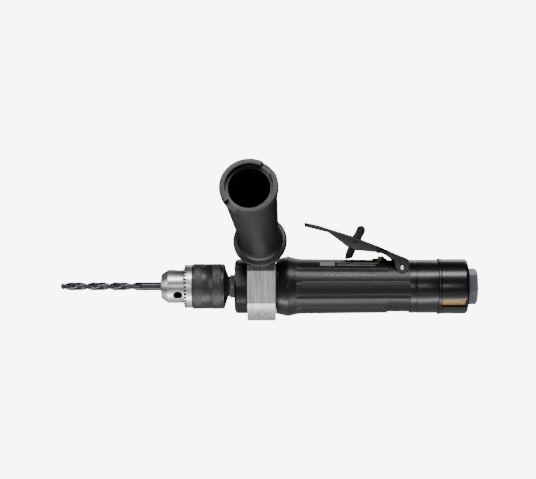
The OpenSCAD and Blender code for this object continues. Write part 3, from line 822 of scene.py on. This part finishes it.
lever_places = [-146.9 + 0.5 * k for k in range(10)] + [-142 + 1.6 * k for k in range(41)]
lever_places += [-76 + 0.35 * k for k in range(49)]
sections = [lever_section(x) for x in lever_places]
size = len(sections[0])
faces = [tuple(range(size)), tuple(range((len(sections) - 1) * size, len(sections) * size))]
faces += [(a * size + b, a * size + (b + 1) % size, (a + 1) * size + (b + 1) % size, (a + 1) * size + b)
          for a in range(len(sections) - 1) for b in range(size)]
lever = link_mesh("throttle_lever_channel", [p for ring in sections for p in ring], faces)
lock_place = (-104.1, 38.5)
lock_base = (lock_place[0], 0, lock_place[1])
cross_hole = [(-30, 0), (-30, 1), (30, 1), (30, 0)]
lever_cuts = [
    block("slot_cut", (-112, -2, 30), (-85.5, 2, 55)),
    spun("pin_cut", [(h, r * 2.1) for h, r in cross_hole], 0, pin_base, "Y", 32),
    spun("rivet_cut", [(h, r * 1.85) for h, r in cross_hole], 0, lock_base, "Y", 32)]
cut(lever, *lever_cuts)
fit_piece(lever, lever_black, "lever_steel", "lever", "throttle_lever", crease=28)
pad_side = ((-85, 28.3), (-78.4, 28.3), (-78.4, 30.6), (-85, 33.4))
pad = link_mesh("lever_pad", [(x, y, z) for y in (-5, 5) for x, z in pad_side],
                [(0, 1, 2, 3), (7, 6, 5, 4)] + [(k, k + 4, (k + 1) % 4 + 4, (k + 1) % 4) for k in range(4)])
fit_piece(pad, lever_black, "lever_steel", "lever")

pin_steel = finish("pin_steel", (0.72, 0.72, 0.71), 0.22, metal=1.0, grain=0.05, tone=0.08)
pin_line = eased([(-20.1, 0, 0), (-20.1, 1.35, 0.6), (-19.4, 2, 0.2), (19.4, 2, 0.2), (20.1, 1.35, 0.6),
                  (20.1, 0, 0)], 4)
pin = spun("lever_pin_domed", pin_line, 0, pin_base, "Y", 32)
fit_piece(pin, pin_steel, "bearing_steel", "housing", "lever_pin", crease=60)


# ---- Lock-off lever ---------------------------------------------------------
# A flat blackened plate on a rivet through the throttle lever. Its foot stands
# on the grip and stops the lever until a finger tips it forward.
lock_tilt = math.radians(23)
thumb_along, thumb_across, thumb_r = 10.97, 1.27, 3.75


def lock_outline():
    """Points (along, across) of the plate: thumb end, straight shank, foot cut to clear the grip."""
    line = [(thumb_along + thumb_r * math.sin(a), thumb_across - thumb_r * math.cos(a))
            for a in (math.pi * k / 12 for k in range(13))]
    line += [(8.5, 4.95), (4, 4.6), (0, 4), (-8, 3.9), (-13, 3.8), (-14.2, 3.4), (-15.3, 2), (-16.3, 0.4),
             (-17, -1.2), (-17.2, -1.9)]
    return line + [(-12, -2.9), (-6.4, -3.3), (0, -3.6), (7, -2.5)]


half_plate = 1.4
flat = [(lock_place[0] + a * math.sin(lock_tilt) + c * math.cos(lock_tilt),
         lock_place[1] + a * math.cos(lock_tilt) - c * math.sin(lock_tilt)) for a, c in lock_outline()]
count = len(flat)
points = [(x, y, z) for y in (-half_plate, half_plate) for x, z in flat]
faces = [tuple(range(count)), tuple(range(count, 2 * count))]
faces += [(k, (k + 1) % count, count + (k + 1) % count, count + k) for k in range(count)]
lock = link_mesh("lockoff_plate", points, faces)
softened = lock.modifiers.new("softened", "BEVEL")
softened.width = 0.4 * MM
softened.segments = 3
softened.limit_method = "ANGLE"
softened.angle_limit = math.radians(50)
bake(lock)
cut(lock, spun("rivet_cut", [(h, r * 1.9) for h, r in cross_hole], 0, lock_base, "Y", 32))
fit_piece(lock, lever_black, "lever_steel", "lock_off", "lockoff_lever", crease=32)

rivet_line = eased([(-10.4, 0, 0), (-10.4, 1.5, 0.5), (-9.5, 2.2, 0.3), (-9.45, 1.8, 0), (9.45, 1.8, 0),
                    (9.5, 2.2, 0.3), (10.4, 1.5, 0.5), (10.4, 0, 0)], 3)
rivet = spun("lockoff_rivet_domed", rivet_line, 0, lock_base, "Y", 32)
fit_piece(rivet, lever_black, "bearing_steel", "lever", "lockoff_rivet", crease=50)


# ---- Printed marks ----------------------------------------------------------
# Pale grey ink marks on the grip and valve housing: a plain patch, two thin
# lines and rows of short dashes. They carry no words.
ink = finish("mark_ink", (0.15, 0.15, 0.147), 0.55, tone=0.3, tone_scale=900)


def mark(name, x0, x1, low, high, radius):
    """A thin printed patch wrapped on the barrel between two places and two turns."""
    steps_x, steps_t = max(2, round((x1 - x0) / 3)), max(2, round((high - low) / 3))
    points = []
    for lift in (0.0, 0.06):
        for i in range(steps_x + 1):
            x = x0 + (x1 - x0) * i / steps_x
            for j in range(steps_t + 1):
                turn = math.radians(low + (high - low) * j / steps_t)
                r = radius(x) + lift
                points.append((x, -r * math.cos(turn), r * math.sin(turn)))
    row, deck = steps_t + 1, (steps_x + 1) * (steps_t + 1)
    faces = []
    for i in range(steps_x):
        for j in range(steps_t):
            a = i * row + j
            b = a + row
            faces += [(a, a + 1, b + 1, b), (deck + a, deck + b, deck + b + 1, deck + a + 1)]
    rim = [i * row for i in range(steps_x + 1)] + [steps_x * row + j for j in range(1, row)]
    rim += [i * row + steps_t for i in range(steps_x - 1, -1, -1)] + [j for j in range(steps_t - 1, 0, -1)]
    faces += [(a, b, deck + b, deck + a) for a, b in zip(rim, rim[1:] + rim[:1])]
    piece = link_mesh(name, points, faces)
    return fit_piece(piece, ink, "black_paint", "housing")


def grip_skin(x):
    """Radius of the grip's surface between its grooves."""
    return grip_r - grip_taper * min(1, max(0, (x - taper_from) / taper_length))


mark("mark_patch", -134.0, -121.5, 50, 64, grip_skin)
for k, (low, high) in enumerate(((52, 54.5), (60, 62.5))):
    mark(f"mark_line_{k}", -119.5, -87.0 + 3 * k, low, high, grip_skin)
for k in range(9):
    mark(f"mark_dash_{k}", -130.5 + 5.1 * k, -127.6 + 5.1 * k, 24.4, 26.6, grip_skin)
for k in range(4):
    mark(f"mark_rear_{k}", -48.6 + 3.6 * k, -46.6 + 3.6 * k, 66, 76, lambda x: valve_r)


# ---- Inner workings ---------------------------------------------------------
# Hidden pieces that the model keeps: bearings, planet gears, the vane motor
# and the valve spring. Their solids stay as they are and get a metal finish.
bright_inner = finish("bright_inner", (0.62, 0.63, 0.64), 0.25, metal=1.0, grain=0.05)
machined_inner = finish("machined_inner", (0.42, 0.43, 0.45), 0.4, metal=1.0, grain=0.2, tone=0.15)
vane_fibre = finish("vane_fibre", (0.16, 0.09, 0.04), 0.6, grain=0.4, tone=0.2)
inner_finish = {
    bright_inner: ("spindle_race", "spindle_balls", "front_race", "rear_race", "valve_spring", "planet_pins"),
    machined_inner: ("ring_gear", "motor_cylinder", "front_plate", "rear_plate", "jaw_nut", "rotor",
                     "planet_1", "planet_2", "planet_3"),
    vane_fibre: ("vanes",)}
for paint, names in inner_finish.items():
    for name in names:
        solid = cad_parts[name]
        solid.data.materials.clear()
        solid.data.materials.append(paint)

bpy.context.view_layer.update()
